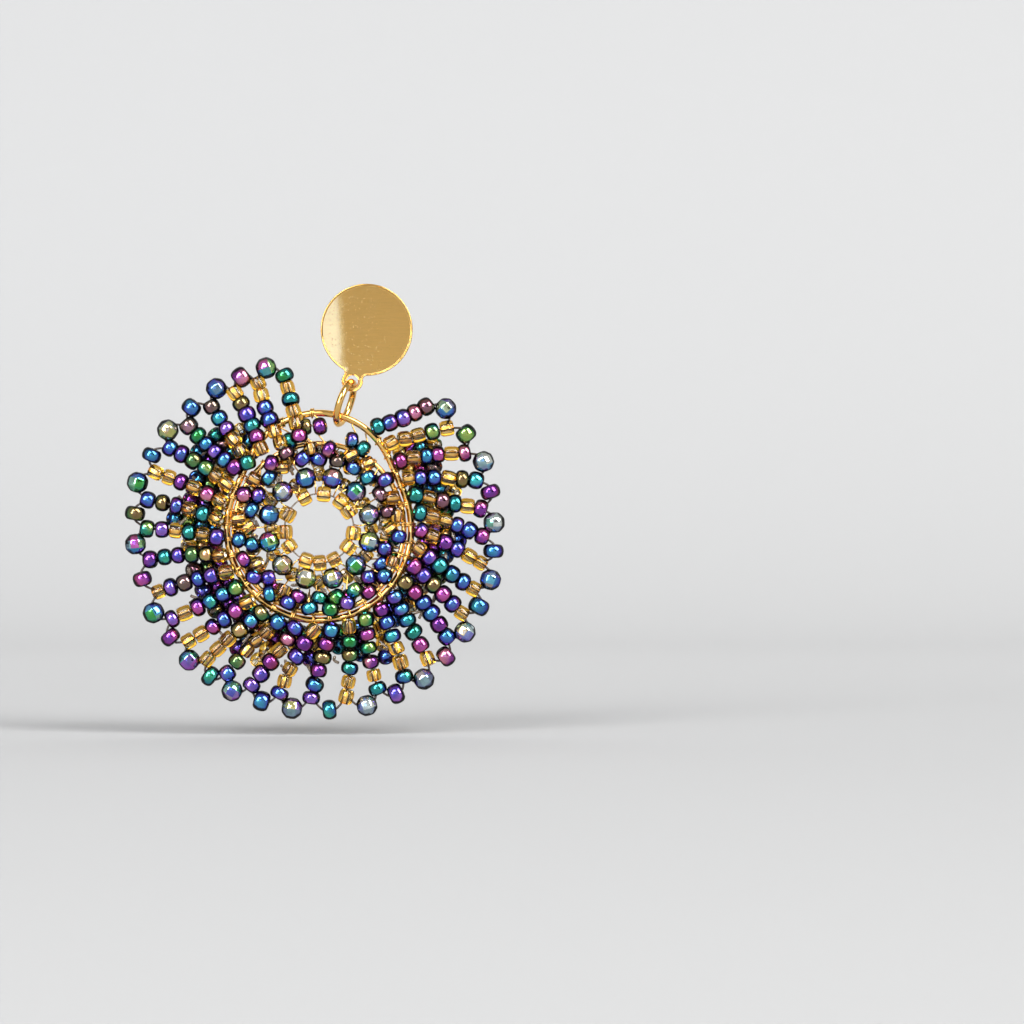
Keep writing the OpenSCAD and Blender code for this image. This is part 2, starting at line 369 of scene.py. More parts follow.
def wire(name, paths, thickness, sides=2, closed=False):
    """Round wire along each path of points, as one curve."""
    curve = bpy.data.curves.new(name, "CURVE")
    curve.dimensions = "3D"
    curve.bevel_depth = thickness / 2
    curve.bevel_resolution = sides
    curve.use_fill_caps = True
    for path in paths:
        spline = curve.splines.new("POLY")
        spline.points.add(len(path) - 1)
        spline.points.foreach_set("co", [v for p in path for v in (*p, 1.0)])
        spline.use_cyclic_u = closed
        spline.use_smooth = True
    return curve


def eased(points, steps=6):
    """A smooth path through a few points."""
    ends = [points[0] * 2 - points[1], *points, points[-1] * 2 - points[-2]]
    path = []
    for a, b, c, d in zip(ends, ends[1:], ends[2:], ends[3:]):
        for k in range(steps):
            t = k / steps
            path.append(0.5 * (2 * b + (c - a) * t + (2 * a - 5 * b + 4 * c - d) * t * t
                               + (3 * b - a - 3 * c + d) * t ** 3))
    return path + [points[-1]]


def bent_end(middle, reach, rng):
    """A bent bit of thread that wanders up to reach millimetres each way from a point."""
    return eased([
        middle + Vector([rng.uniform(-reach, reach) * MM for _ in range(3)]) for _ in range(4)])


# Materials: every finish is a function that returns its shader

def add_node(tree, kind, inputs=None, **settings):
    """Adds a shader node, sets its properties, and sets its inputs or links them to a socket,
    or to the first output of a node."""
    made = tree.nodes.new("ShaderNode" + kind)
    for name, value in settings.items():
        setattr(made, name, value)
    for key, value in (inputs or {}).items():
        if isinstance(value, bpy.types.Node):
            value = next(socket for socket in value.outputs if not socket.is_unavailable)
        if isinstance(value, bpy.types.NodeSocket):
            tree.links.new(value, made.inputs[key])
        else:
            made.inputs[key].default_value = value
    return made


def rgba(channels, shade=1.0):
    return (*[c * shade for c in channels], 1.0)


def per_mm(spacing):
    """Scale of a pattern on coordinates in metres whose features are spacing mm apart."""
    return 1 / (spacing * MM)


def noise(tree, place, spacing, detail, roughness=0.5):
    """Soft noise, its features spacing mm apart."""
    return add_node(tree, "TexNoise", {
        "Vector": place, "Scale": per_mm(spacing), "Detail": detail, "Roughness": roughness})


def remap(tree, value, span, onto=(0, 1), **settings):
    """A value, stretched and cut off so that a span of it falls onto another."""
    return add_node(tree, "MapRange", {
        "Value": value, "From Min": span[0], "From Max": span[1], "To Min": onto[0],
        "To Max": onto[1]}, **settings)


def blend(tree, share, one, other):
    """A colour that goes from one to the other as share goes from 0 to 1."""
    return add_node(tree, "Mix", {"Factor": share, "A": one, "B": other}, data_type="RGBA")


def relief(tree, height, strength, mm, under=None):
    """A bump of that many millimetres, on top of the bump under it."""
    below = {"Normal": under} if under else {}
    return add_node(tree, "Bump", {
        "Height": height, "Strength": strength, "Distance": mm * MM, **below})


def polished_gold_plate(tree, place, colours):
    """Gold plate on brass, pressed, polished, lacquered and worn: a mirror with soft waves, pits
    and hair scratches, which are drawn wider apart than real ones so that they show."""
    waves = noise(tree, place, spacing=5, detail=2)
    stretched = add_node(tree, "Mapping", {
        "Vector": place, "Rotation": (0, 0.5, 0), "Scale": (1, 1, 9)})
    scratches = noise(tree, stretched, spacing=1.6, detail=5, roughness=0.6)
    specks = add_node(tree, "TexVoronoi", {"Vector": place, "Scale": per_mm(0.4)})
    pits = remap(tree, specks, (0, 0.22))
    wave_bump = relief(tree, waves, strength=0.02, mm=0.4)
    scratch_bump = relief(tree, scratches, strength=0.05, mm=0.05, under=wave_bump)
    pit_bump = relief(tree, pits, strength=0.12, mm=0.05, under=scratch_bump)
    shade = blend(tree, scratches, rgba(colours.gold, 0.86), rgba(colours.gold, 1.08))
    rough = remap(tree, scratches, (0.35, 0.75), (0.012, 0.03))
    return add_node(tree, "BsdfPrincipled", {
        "Base Color": shade, "Metallic": 1.0, "Roughness": rough,
        "Specular Tint": rgba(colours.gold_edge), "Coat Weight": 0.8, "Coat Roughness": 0.03,
        "Normal": pit_bump})


def drawn_gold_wire(tree, place, colours, dark):
    """Gold-plated wire, drawn through a die: glossy, uneven in tone, and a little dented."""
    dents = noise(tree, place, spacing=1.3, detail=3)
    shade = blend(tree, dents, rgba(colours.gold, dark), rgba(colours.gold, 1.1))
    rough = remap(tree, dents, (0.3, 0.7), (0.04, 0.1))
    bump = relief(tree, dents, strength=0.05, mm=0.08)
    return add_node(tree, "BsdfPrincipled", {
        "Base Color": shade, "Metallic": 1.0, "Roughness": rough,
        "Specular Tint": rgba(colours.gold_edge), "Coat Weight": 0.6, "Coat Roughness": 0.05,
        "Normal": bump})


def iris_glass(tree, place, colours, rough, edge):
    """Dark pressed glass with a fired metal-oxide coat: mirror bright in violet, blue and green,
    with painted shade, nearly black, where the bead curves away from view. The larger edge is, the
    narrower the painted shade is."""
    tint = add_node(tree, "Attribute", attribute_name="tint")
    cloud = noise(tree, place, spacing=0.9, detail=3)
    level = remap(tree, cloud, (0.3, 0.7), (0.65, 1))
    facing = add_node(tree, "LayerWeight", {"Blend": 0.5}).outputs["Facing"]
    sheen_hue = remap(tree, facing, (0, 0.5), (0.46, 0.57))
    shifted = add_node(tree, "HueSaturation", {
        "Color": tint, "Hue": sheen_hue, "Saturation": 0.92, "Value": level})
    # Painted shade: towards the rim, unevenly, the tone goes to near black
    uneven = add_node(tree, "Math", {0: cloud, 1: 0.7, 2: facing}, operation="MULTIPLY_ADD")
    dark = remap(tree, uneven, (edge + 0.35, edge + 0.57), (0, 0.98),
                 interpolation_type="SMOOTHSTEP")
    shade = blend(tree, dark, shifted, rgba(colours.bead_edge))
    bump = relief(tree, cloud, strength=0.5, mm=0.12)
    return add_node(tree, "BsdfPrincipled", {
        "Base Color": shade, "Metallic": 0.92, "Roughness": rough,
        "Specular Tint": rgba(colours.bead_gleam), "Coat Weight": 0.25, "Coat Roughness": 0.05,
        "Coat IOR": 1.6, "Normal": bump})


def amber_glass(tree, place, colours):
    """Amber glass, drawn as a cane and cut: pale where thin, deep at its sides, where the way
    through it is long."""
    streaks = noise(tree, place, spacing=1.2, detail=2)
    facing = add_node(tree, "LayerWeight", {"Blend": 0.5}).outputs["Facing"]
    way_through = remap(tree, facing, (0.06, 0.18))
    body = blend(tree, way_through, rgba(colours.amber), rgba(colours.amber_side))
    streak = remap(tree, streaks, (0.4, 0.8), (0, 0.5))
    shade = blend(tree, streak, body, rgba(colours.amber_side))
    return add_node(tree, "BsdfPrincipled", {
        "Base Color": shade, "Transmission Weight": 1.0, "Roughness": 0.03, "IOR": 1.5})


def hole_lining(tree, place, colours):
    """Silver lining in the square hole of a seed bead, chemically plated: bright bars seen through
    the glass, painted shade along its corners, and dark flaw spots."""
    tint = add_node(tree, "Attribute", attribute_name="tint")
    flaws = noise(tree, place, spacing=0.7, detail=2)
    spots = remap(tree, flaws, (0.55, 0.75), (0, 0.5))
    shade = blend(tree, spots, tint, rgba(colours.liner_shade_and_flaws))
    return add_node(tree, "BsdfPrincipled", {
        "Base Color": shade, "Metallic": 0.75, "Roughness": 0.35})


def nylon_thread(tree, place, colours, tone, clear):
    """Nylon thread, extruded, clear or dyed: a soft gleam along it, and some light through it
    where it is clear."""
    tone = getattr(colours, tone)
    flow = noise(tree, place, spacing=0.8, detail=2)
    shade = blend(tree, flow, rgba(tone, 0.8), rgba(tone))
    return add_node(tree, "BsdfPrincipled", {
        "Base Color": shade, "Transmission Weight": clear, "Roughness": 0.15, "IOR": 1.53})


def seamless_paper(tree, place, colours, tone):
    """Backdrop paper, uncoated: matt, with a faint tooth, drawn coarse enough to show."""
    tone = getattr(colours, tone)
    tooth = noise(tree, place, spacing=0.6, detail=4)
    shade = blend(tree, tooth, rgba(tone, 0.985), rgba(tone))
    bump = relief(tree, tooth, strength=0.05, mm=0.05)
    return add_node(tree, "BsdfPrincipled", {"Base Color": shade, "Roughness": 0.9, "Normal": bump})


# Every finish by name: the function that makes it, and that function's settings
FINISHES = {
    "polished_gold_plate": (polished_gold_plate, {}),
    "drawn_gold_wire": (drawn_gold_wire, {"dark": 0.95}),
    "binding_wire": (drawn_gold_wire, {"dark": 0.7}),
    "iris_seed_glass": (iris_glass, {"rough": 0.08, "edge": 0.22}),
    "fire_polished_glass": (iris_glass, {"rough": 0.06, "edge": 0.3}),
    "amber_seed_glass": (amber_glass, {}),
    "silver_hole_lining": (hole_lining, {}),
    "nylon_monofilament": (nylon_thread, {"tone": "nylon", "clear": 0.75}),
    "beading_thread": (nylon_thread, {"tone": "thread", "clear": 0.0}),
    "backdrop_paper": (seamless_paper, {"tone": "paper"}),
    "white_card": (seamless_paper, {"tone": "card"}),
}


def finish_named(name, colours):
    """The material of that name, made the first time that it is asked for."""
    material = bpy.data.materials.get(name)
    if not material:
        make, settings = FINISHES[name]
        material = bpy.data.materials.new(name)
        material.use_nodes = True
        tree = material.node_tree
        tree.nodes.clear()
        place = add_node(tree, "TexCoord").outputs["Object"]
        shader = make(tree, place, colours, **settings)
        add_node(tree, "OutputMaterial", {"Surface": shader})
    return material


# The fringe's layout

# Shares and tones of the iris beads: main, second and third tone
IRIS_TONES = [
    (0.16, "#8A2CA4", "#C04498", "#3A40BC"),
    (0.09, "#6A3CC4", "#A060D4", "#2C54CC"),
    (0.13, "#A82C74", "#86289C", "#E08098"),
    (0.12, "#2A46C4", "#6A3AC0", "#2E9AD4"),
    (0.10, "#1C74BC", "#2E4EC4", "#24B0C4"),
    (0.13, "#12929A", "#1C6AB4", "#30BC9C"),
    (0.12, "#1C965A", "#149490", "#8CBC52"),
    (0.09, "#8C7C40", "#4C8A4C", "#D0B060"),
    (0.06, "#8C5A62", "#7A6A5A", "#A87A86"),
]
# Main, second and third tone of the gold beads
GOLD_TONES = ("#F0B95A", "#E0A040", "#FFE0A0")
# Shares of gold beads: next to the hoop, further out, in the back layer and in the web
GOLD_AT_HOOP = 0.34
GOLD_OUTSIDE = 0.27
GOLD_BEHIND = 0.3
GOLD_IN_WEB = 0.34
ALL_GOLD = 1.0
ALL_IRIS = 0.0
# Smallest and largest bead, across its hole and along it, as shares of the size that is set
ACROSS_SPREAD = (0.93, 1.05)
ALONG_SPREAD = (0.9, 1.12)


def pick_tones(rng, gold_share):
    """Whether a bead is a gold or an iris one, and its tones."""
    if rng.random() < gold_share:
        return "gold", [to_linear(t) for t in GOLD_TONES]
    at = rng.random() * sum(row[0] for row in IRIS_TONES)
    for share, *tones in IRIS_TONES:
        at -= share
        if at <= 0:
            break
    return "iris", [to_linear(t) for t in tones]


def jittered(direction, amount, rng):
    """A direction tipped by up to amount radians."""
    nudge = Vector([rng.uniform(-1, 1) for _ in range(3)]) * amount
    return (direction + nudge).normalized()


class BeadSorter:
    """Gathers the places of iris and gold beads."""

    def __init__(self, rng):
        self.rng = rng
        self.places = {"iris": [], "gold": []}

    def pick(self, gold_share):
        """One bead: its kind, its tones and its size."""
        width = self.rng.uniform(*ACROSS_SPREAD)
        kind, tones = pick_tones(self.rng, gold_share)
        return kind, tones, (width, width, self.rng.uniform(*ALONG_SPREAD))

    def add(self, at, along, bead, tilt=0.1, size=1.0):
        """A bead at a point, its hole running along a direction."""
        kind, tones, own_size = bead
        self.places[kind].append(Place(
            at, jittered(along, tilt, self.rng), self.rng.uniform(0, math.tau),
            [size * share for share in own_size], tones))

    def make(self, name, sizes, colours, *replaced):
        """Makes the iris beads, and the gold ones as amber glass round a metal lining. The
        first of these pieces stands for the replaced nodes."""
        iris = turned(bead_outline(
            sizes.seed_width, sizes.seed_long, sizes.seed_hole, IRIS_SQUARE), BEAD_SIDES)
        gold = turned(bead_outline(
            sizes.gold_width, sizes.gold_long, sizes.gold_hole, GOLD_SQUARE), BEAD_SIDES)
        lining = square_tube(sizes.gold_hole / 2, sizes.gold_long / 2 - 0.05 * MM)
        lining_tones = (list(colours.liner), list(colours.liner_shade_and_flaws))
        for kind, part, shape, material, slot, *tinting in (
                ("iris", "iris_beads", iris, "iris_seed_glass", "iris_beads"),
                ("gold", "gold_beads", gold, "amber_seed_glass", "gold_beads"),
                ("gold", "bead_linings", lining, "silver_hole_lining", "gold_beads",
                 corner_tones, lining_tones)):
            if self.places[kind]:
                mesh = bead_mesh(name, shape, self.places[kind], self.rng, *tinting)
                dress(f"{name}_{part}", mesh, material, colours, "drop", slot, *replaced)
                replaced = ()


# The fringe's strings are one more than its tips, and start from the first turn to the last
STRING_COUNT = len(TIPS) + 1
FRINGE_FROM = 13.2
FRINGE_TO = 330.0
# Radius and turn at which the first strings start: they reach over the hoop
FIRST_BASES = ((12.3 * MM, 11.8), (12.2 * MM, 24.2), (12.8 * MM, 35.8), (12.6 * MM, 47.3))
# How far outside the hoop's middle line a string starts, and how far inside its tips it ends
BASE_GAP = 1.3 * MM
TIP_RISE = 1.6 * MM
# How far the outermost strings stand beyond the first and the last tip, in degrees
FIRST_SPREAD = 5.5
LAST_SPREAD = 5.3
# How far in front of the drop's middle a string starts, over the bare hoop and elsewhere, how
# far behind it the back layer starts, and how much further back all of that layer lies
OVER_HOOP = 1.65 * MM
FRONT_RISE = 1.15 * MM
BACK_RISE = 1.3 * MM
BACK_GAP = 0.55 * MM
# How many beads stand behind a gap between two strings: one of these, from this share of a
# step on, with so many steps to the tips
BACK_COUNTS = (2, 3, 3, 4)
BACK_FROM = 0.4
BACK_STEPS = 5.4
# Distance between two beads' middles on a string
PITCH = 1.74 * MM


def string_base(i):
    """Radius and turn at which a string of the fringe starts."""
    if i < len(FIRST_BASES):
        return FIRST_BASES[i]
    turn = FRINGE_FROM + i * (FRINGE_TO - FRINGE_FROM) / (STRING_COUNT - 1)
    return arch_reach(turn) + BASE_GAP, turn


def string_end(i):
    """Radius and turn of a string's last bead: between its two tips and nearer the middle."""
    if i == 0:
        return TIPS[0][0] - TIP_RISE, TIPS[0][1] - FIRST_SPREAD
    if i == STRING_COUNT - 1:
        return TIPS[-1][0] - TIP_RISE, TIPS[-1][1] + LAST_SPREAD
    return (TIPS[i - 1][0] + TIPS[i][0]) / 2 - TIP_RISE, (TIPS[i - 1][1] + TIPS[i][1]) / 2


def string_path(i, rng, depth):
    """A string's middle line as a function of 0, at the hoop, to 1, swaying a little, and its
    length."""
    start, end = on_drop(*string_base(i)), on_drop(*string_end(i))
    across = (end - start).cross(Vector((0, 1, 0))).normalized()
    sway = rng.uniform(-0.35, 0.35) * MM
    lift = depth + rng.uniform(-0.25, 0.25) * MM

    def at(t):
        return (start.lerp(end, t) + across * sway * math.sin(math.pi * t)
                + Vector((0, lift * (1 - t) ** 1.3, 0)))
    return at, (end - start).length


# Operators

# The lug hangs this far from the disc's centre, turned this much from straight down to the left
LUG_REACH = 6.95 * MM
LUG_TURN = 15.6
LUG_FILLET = 0.5 * MM
# The front of the stud's rim in millimetres: how far in from the edge, how far back from the
# front; and how wide the rim round the lug's hole is, as a share of that
RIM_SECTION = ((0, 0.12), (0.03, 0.04), (0.09, 0.0), (0.15, 0.01), (0.2, 0.06), (0.23, 0.11),
               (0.26, 0.1335), (0.3, 0.1318), (0.34, 0.13))
HOLE_RIM_SHARE = 0.6
# Outermost circle of points in the domed face, as a share of the face, and every circle, as a
# share of the outermost
FACE_SHARE = 0.92
FACE_CIRCLES = (1, 0.85, 0.7, 0.55, 0.4, 0.25, 0.1)
# Points on the disc's edge, the fillets, the lug and its hole, a circle of the face, the post
DISC_POINTS, FILLET_POINTS, LUG_POINTS, FACE_POINTS, POST_POINTS = 160, 8, 48, 96, 28
# The fillet of solder round the post's foot: its size, and its section as shares of it
SOLDER = 0.35 * MM
SOLDER_SECTION = ((0.35, 0.25), (0.08, 0.65), (0, 1))


class EARRING_OT_stud(bpy.types.Operator):
    """Make the flat round stud with its raised rim, lug and ear post"""
    bl_idname = "earring.stud"
    bl_label = "Stud"

    def execute(self, context):
        sizes, colours = chosen(context)
        form = bmesh.new()
        self.plate(form, sizes)
        self.post(form, sizes)
        bmesh.ops.recalc_face_normals(form, faces=form.faces[:])
        mesh = mesh_from(form, "stud_plate")
        mesh.set_sharp_from_angle(angle=math.radians(50))
        dress("stud_plate", mesh, "polished_gold_plate", colours, "stud", "gold_plate", "stud")
        return {"FINISHED"}

    def outline(self, sizes):
        """The outer edge of disc and lug as (point, outward normal) pairs in the XZ plane, and
        the lug's middle."""
        disc, lug, fillet = sizes.disc_width / 2, sizes.lug_width / 2, LUG_FILLET
        down = math.radians(-90 - LUG_TURN)
        middle, lug_at = Vector((0, 0)), unit(down) * LUG_REACH
        to_fillet, from_lug = disc + fillet, lug + fillet
        turn = math.acos(
            (LUG_REACH ** 2 + to_fillet ** 2 - from_lug ** 2) / (2 * LUG_REACH * to_fillet))
        after, before = unit(down + turn) * to_fillet, unit(down - turn) * to_fillet
        edge = []

        def arc(centre, radius, first, sweep, points, side):
            for k in range(points):
                away = unit(first + sweep * k / points)
                edge.append((centre + away * radius, away * side))

        def heading(a, b):
            return math.atan2(b.y - a.y, b.x - a.x)

        def hollow(centre, one, two):
            first, last = heading(centre, one), heading(centre, two)
            sweep = (last - first + math.pi) % math.tau - math.pi
            arc(centre, fillet, first, sweep, FILLET_POINTS, -1)

        arc(middle, disc, down + turn, math.tau - 2 * turn, DISC_POINTS, 1)
        hollow(before, middle, lug_at)
        first = heading(lug_at, before)
        arc(lug_at, lug, first, (heading(lug_at, after) - first) % math.tau, LUG_POINTS, 1)
        hollow(after, lug_at, middle)
        return edge, lug_at

    def plate(self, form, sizes):
        """Disc and lug: a faintly domed face inside a raised rim, and a rim round the hole."""
        edge, lug_at = self.outline(sizes)
        thick = span_of("stud").y - sizes.post_long
        hole = sizes.lug_hole / 2
        hole_edge = [(Vector(way) * hole + lug_at, -Vector(way)) for way in circle(LUG_POINTS)]
        face_r = sizes.disc_width / 2 - RIM_SECTION[-1][0] * MM
        sunk = RIM_SECTION[-1][1] * MM
        section = [(0.1, thick / MM), (0.03, thick / MM - 0.03), (0.0, thick / MM - 0.1),
                   *RIM_SECTION]
        ends = []
        for path, narrow in ((edge, 1.0), (hole_edge, HOLE_RIM_SHARE)):
            loops = [[form.verts.new((
                point.x - normal.x * inset * narrow * MM, back * MM - thick,
                point.y - normal.y * inset * narrow * MM)) for point, normal in path]
                for inset, back in section]
            skin(form, loops)
            ends.append((loops[0], loops[-1]))
        rings = []
        for share in FACE_CIRCLES:
            r = face_r * FACE_SHARE * share
            depth = sunk * (r / face_r) ** 2 - thick
            rings.append([form.verts.new((r * c, depth, r * s)) for c, s in circle(FACE_POINTS)])
        skin(form, rings)
        form.faces.new(rings[-1])
        for borders in ([back for back, _ in ends], [front for _, front in ends] + [rings[0]]):
            edges = []
            for loop in borders:
                for pair in zip(loop, loop[1:] + loop[:1]):
                    edges.append(form.edges.get(pair) or form.edges.new(pair))
            bmesh.ops.triangle_fill(form, edges=edges, use_beauty=True)

    def post(self, form, sizes):
        """A plain ear post with a rounded end and a fillet of solder round its foot."""
        r, long = sizes.post_width / 2, sizes.post_long
        dome = r * 0.6
        profile = [(r + SOLDER, -0.02 * MM)]
        profile += [(r + SOLDER * out, SOLDER * up) for out, up in SOLDER_SECTION]
        profile += [(r * math.cos(math.radians(a)), long - dome + dome * math.sin(math.radians(a)))
                    for a in (0, 25, 50, 75)]
        rows = [[form.verts.new((out * c, y, out * s)) for c, s in circle(POST_POINTS)]
                for out, y in profile]
        skin(form, rows)
        form.faces.new(rows[-1])


# The jump ring leans to the left, is turned about its own length, and is cut near the lug
RING_LEAN = 18.6
RING_YAW = 12
RING_CUT = 40
RING_HALF_GAP = 0.4
RING_POINTS = 121


class EARRING_OT_wires(bpy.types.Operator):
    """Bend the jump ring, with its cut, and polish both hoops"""
    bl_idname = "earring.wires"
    bl_label = "Ring and hoops"

    def execute(self, context):
        sizes, colours = chosen(context)
        for name in ("arch_hoop", "round_hoop"):
            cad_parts[name].data.materials.clear()
            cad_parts[name].data.materials.append(finish_named("drawn_gold_wire", colours))
        turn = (Matrix.Rotation(math.radians(RING_LEAN), 3, "Y")
                @ Matrix.Rotation(math.radians(-RING_YAW), 3, "Z"))
        middle, path = middle_of("jump_ring"), []
        for k in range(RING_POINTS):
            sweep = (360 - 2 * RING_HALF_GAP) * k / (RING_POINTS - 1)
            a = math.radians(RING_CUT + RING_HALF_GAP + sweep)
            path.append(
                middle + turn @ Vector((0, math.sin(a), math.cos(a))) * sizes.ring_across / 2)
        dress("jump_ring_wire", wire("jump_ring_wire", [path], sizes.ring_wire, 6),
              "drawn_gold_wire", colours, "jump_ring", "gold_plate", "jump_ring")
        return {"FINISHED"}


# Turns at which wire binds the arched hoop alone, and the round hoop alone
ARCH_BINDINGS = (3.5, 19, 27, 36, 45, 55, 64, 297, 307, 317, 326)
ROUND_BINDINGS = range(-56, 60, 16)
# How far past the hoops' meeting the bindings round both of them start, in degrees
BOTH_MARGIN = 4
# Degrees from one of those to the next, at least and at most
BINDING_STEP = (8, 14)
# Turns of wire in a binding: one of these; their distance as a share of the wire's thickness
WRAPS = (1.3, 1.6, 2.3)
WRAP_PITCH = 1.02
# Points in one turn of wire
LOOP_POINTS = 20


class EARRING_OT_bindings(bpy.types.Operator):
    """Wind fine gold wire round the hoops, between the strings of beads"""
    bl_idname = "earring.bindings"
    bl_label = "Wire bindings"

    def execute(self, context):
        sizes, colours = chosen(context)
        rng = random.Random(sizes.seed + 1)
        thick = sizes.binding_wire
        paths = []
        turn = both_from = math.degrees(TANGENT) + BOTH_MARGIN
        while turn < 360 - both_from:
            paths.append(self.wrap(turn, arch_reach(turn), ROUND_R, thick, 1.2, rng))
            turn += rng.uniform(*BINDING_STEP)
        for turn in ARCH_BINDINGS:
            paths.append(self.wrap(turn, arch_reach(turn), arch_reach(turn), thick, 1, rng))
        for turn in ROUND_BINDINGS:
            paths.append(self.wrap(turn, ROUND_R, ROUND_R, thick, 1, rng))
        dress("hoop_bindings", wire("hoop_bindings", paths, thick), "binding_wire", colours,
              "drop", "gold_plate")
        return {"FINISHED"}

    def wrap(self, turn, outer, inner, thick, most_skew, rng):
        """A few turns of wire round one hoop, or round both where they lie side by side."""
        skew = rng.uniform(-most_skew, most_skew)
        loops = rng.choice(WRAPS)
        outer_half, inner_half = (
            (ARCH_WIRE if reach > ROUND_R else ROUND_WIRE) / 2 + thick / 2
            for reach in (outer, inner))
        path = []
        for k in range(int(loops * LOOP_POINTS) + 1):
            a = k / LOOP_POINTS * math.tau
            s = math.sin(a)
            reach = (outer + outer_half * s) if s > 0 else (inner + inner_half * s)
            depth = (outer_half if s > 0 else inner_half) * math.cos(a)
            slide = math.degrees(thick * WRAP_PITCH * (k / LOOP_POINTS - loops / 2) / outer)
            path.append(on_drop(reach, turn + (slide + skew * s * 0.5), depth))
        return path


class EARRING_OT_fringe(bpy.types.Operator):
    """String the fringe: dense at the hoop, open at its looped edge"""
    bl_idname = "earring.fringe"
    bl_label = "Fringe"

    def execute(self, context):
        sizes, colours = chosen(context)
        rng = random.Random(sizes.seed + 2)
        front, back = BeadSorter(rng), BeadSorter(rng)
        threads = []
        for i in range(STRING_COUNT):
            rise = OVER_HOOP if i < len(FIRST_BASES) else FRONT_RISE
            at, long = string_path(i, rng, -rise)
            beads = [front.pick(GOLD_AT_HOOP if k < 2 else GOLD_OUTSIDE)
                     for k in range(round(long / PITCH) + 1)]
            for t, bead in zip(self.spread(beads, sizes), beads):
                along = at(min(t + 0.02, 1)) - at(max(t - 0.02, 0))
                front.add(at(t), along.normalized(), bead, tilt=0.2)
            threads.append([at(k / 12) for k in range(13)])
        for i in range(2, STRING_COUNT - 2):
            self.back_string(i, back, rng)
        for r, turn in TIPS[1::2]:
            front.add(on_drop(r, turn), along_edge(turn), front.pick(ALL_IRIS),
                      tilt=0.15, size=1.1)
        front.make("fringe_front", sizes, colours, "fringe")
        back.make("fringe_back", sizes, colours)
        self.loops(sizes, colours, threads)
        self.knots(sizes, colours, rng)
        return {"FINISHED"}

    def back_string(self, i, back, rng):
        """A few loose beads behind the gap between a string and the next."""
        one, _ = string_path(i, rng, BACK_RISE)
        two, _ = string_path(i + 1, rng, BACK_RISE)
        for k in range(rng.choice(BACK_COUNTS)):
            t = (k + BACK_FROM) / BACK_STEPS
            at = (one(t) + two(t)) / 2 + Vector((0, BACK_GAP, 0))
            along = (one(min(t + 0.1, 1)) + two(min(t + 0.1, 1))) / 2 - at
            back.add(at, along.normalized(), back.pick(GOLD_BEHIND), tilt=0.3, size=0.97)

    def spread(self, beads, sizes):
        """Where the beads of a string lie, from 0 to 1, so that each touches the next."""
        long = {"gold": sizes.gold_long, "iris": sizes.seed_long}
        lengths = [long[kind] * size[2] for kind, _, size in beads]
        places = [0.0]
        for a, b in zip(lengths, lengths[1:]):
            places.append(places[-1] + (a + b) / 2)
        return [place / places[-1] for place in places]

    def loops(self, sizes, colours, threads):
        """The thread along every string and over every tip."""
        paths = list(threads)
        for k, (r, turn) in enumerate(TIPS):
            middle = on_drop(r, turn)
            side = along_edge(turn) * 0.8 * MM
            first, last = on_drop(*string_end(k)), on_drop(*string_end(k + 1))
            paths.append(eased([first, middle - side, middle + side, last], 5))
        dress("fringe_thread", wire("fringe_thread", paths, sizes.thread),
              "beading_thread", colours, "drop", "thread")

    def knots(self, sizes, colours, rng):
        """Bent ends of clear thread in the gaps between the strings."""
        paths = []
        for i in range(3, STRING_COUNT - 3):
            base, end = on_drop(*string_base(i)), on_drop(*string_end(i + 1))
            paths.append(bent_end(base.lerp(end, rng.uniform(0.35, 0.6)), 0.8, rng))
        dress("fringe_knots", wire("fringe_knots", paths, sizes.nylon_knot),
              "nylon_monofilament", colours, "drop", "thread")


# The web: beads in a row, and its rows by radius and depth in millimetres, size of bead and
# shift along the row as a share of the beads' distance
WEB_COUNT = 24
WEB_ROWS = ((9.15, -0.5, 0.96, 0), (10.5, -1.35, 0.96, 0.5), (9.9, 0.9, 0.92, 0.5))
# How far a bead of the web is turned from pointing at the middle: one of these, in degrees
WEB_SWINGS = (0, 0, 15, 30, 75)
# Bits of wire, and of thread, round the web
WEB_TIES = 60
# Radius and turn of the single beads in the gap between the hoops, and their depth
CRESCENT = ((13.35, 7.9), (13.3, -0.5), (12.25, -20.4), (12.0, 18.5), (11.8, -29))
CRESCENT_Y = -0.3 * MM


